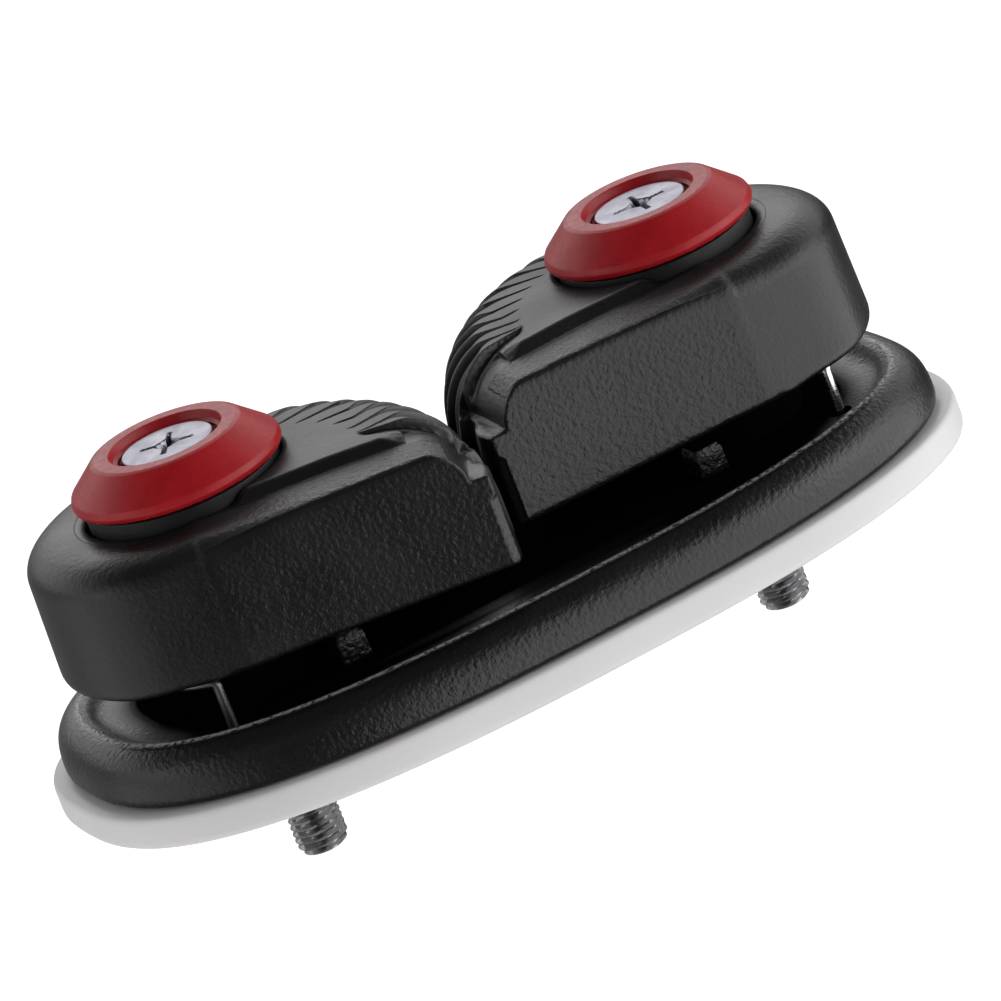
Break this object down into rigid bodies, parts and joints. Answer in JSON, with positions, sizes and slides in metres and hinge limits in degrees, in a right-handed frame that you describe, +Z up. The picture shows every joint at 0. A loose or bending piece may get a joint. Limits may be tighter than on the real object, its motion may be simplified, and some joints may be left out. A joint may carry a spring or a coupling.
{
  "type": "cam cleat",
  "caption": "Ball-bearing cam cleat for rope: sprung toothed cams under bearing caps on a coated base plate, with a riser pad and through screws.",
  "frame": {"origin": "middle of the riser pad's underside, halfway between the screws", "axes": "+X from the left screw to the right screw, +Z up from the deck, the cams' noses and the rope's tail to -Y"},
  "size_m": [0.069, 0.0366, 0.0319],
  "materials": {
    "black_coating": "satin powder coat with a fine orange peel on cast aluminium",
    "red_plastic": "satin moulded",
    "white_plastic": "smooth satin",
    "black_plastic": "satin moulded",
    "stainless": "bright stainless",
    "ball_plastic": "smooth acetal"
  },
  "bodies": {
    "base": {"riser_pad": "white_plastic", "base_plate": "black_coating", "left_bearing_cap": "red_plastic", "left_upper_race": "black_plastic", "left_inner_race": "red_plastic", "left_lower_race": "black_plastic", "left_screw": "stainless", "left_torsion_spring": "stainless", "right_bearing_cap": "red_plastic", "right_upper_race": "black_plastic", "right_inner_race": "red_plastic", "right_lower_race": "black_plastic", "right_screw": "stainless", "right_torsion_spring": "stainless"},
    "left_cam_body": {"left_cam": "black_coating"},
    "right_cam_body": {"right_cam": "black_coating"},
    "left_ball_set": {"left_ball_1_01": "ball_plastic", "left_ball_1_02": "ball_plastic", "left_ball_1_03": "ball_plastic", "left_ball_1_04": "ball_plastic", "left_ball_1_05": "ball_plastic", "left_ball_1_06": "ball_plastic", "left_ball_1_07": "ball_plastic", "left_ball_1_08": "ball_plastic", "left_ball_1_09": "ball_plastic", "left_ball_1_10": "ball_plastic", "left_ball_1_11": "ball_plastic", "left_ball_2_01": "ball_plastic", "left_ball_2_02": "ball_plastic", "left_ball_2_03": "ball_plastic", "left_ball_2_04": "ball_plastic", "left_ball_2_05": "ball_plastic", "left_ball_2_06": "ball_plastic", "left_ball_2_07": "ball_plastic", "left_ball_2_08": "ball_plastic", "left_ball_2_09": "ball_plastic", "left_ball_2_10": "ball_plastic", "left_ball_2_11": "ball_plastic"},
    "right_ball_set": {"right_ball_1_01": "ball_plastic", "right_ball_1_02": "ball_plastic", "right_ball_1_03": "ball_plastic", "right_ball_1_04": "ball_plastic", "right_ball_1_05": "ball_plastic", "right_ball_1_06": "ball_plastic", "right_ball_1_07": "ball_plastic", "right_ball_1_08": "ball_plastic", "right_ball_1_09": "ball_plastic", "right_ball_1_10": "ball_plastic", "right_ball_1_11": "ball_plastic", "right_ball_2_01": "ball_plastic", "right_ball_2_02": "ball_plastic", "right_ball_2_03": "ball_plastic", "right_ball_2_04": "ball_plastic", "right_ball_2_05": "ball_plastic", "right_ball_2_06": "ball_plastic", "right_ball_2_07": "ball_plastic", "right_ball_2_08": "ball_plastic", "right_ball_2_09": "ball_plastic", "right_ball_2_10": "ball_plastic", "right_ball_2_11": "ball_plastic"}
  },
  "joints": [
    {"name": "left_cam_swing", "type": "hinge", "parent": "base", "child": "left_cam_body", "pos_m": [-0.019, 0, 0.0146], "axis": [0, 0, -1], "range_deg": [0, 50], "stiffness_Nm_per_rad": 0.02, "springref_deg": -45.84},
    {"name": "right_cam_swing", "type": "hinge", "parent": "base", "child": "right_cam_body", "pos_m": [0.019, 0, 0.0146], "axis": [0, 0, 1], "range_deg": [0, 60], "stiffness_Nm_per_rad": 0.02, "springref_deg": -45.84},
    {"name": "left_balls_roll", "type": "hinge", "parent": "base", "child": "left_ball_set", "pos_m": [-0.019, 0, 0.0146], "axis": [0, 0, -1], "range_deg": [0, 31.5]},
    {"name": "right_balls_roll", "type": "hinge", "parent": "base", "child": "right_ball_set", "pos_m": [0.019, 0, 0.0146], "axis": [0, 0, 1], "range_deg": [0, 37.8]}
  ],
  "couplings": [
    {"joint": "left_balls_roll", "follows": "left_cam_swing", "ratio": 0.622},
    {"joint": "right_balls_roll", "follows": "right_cam_swing", "ratio": 0.622}
  ]
}
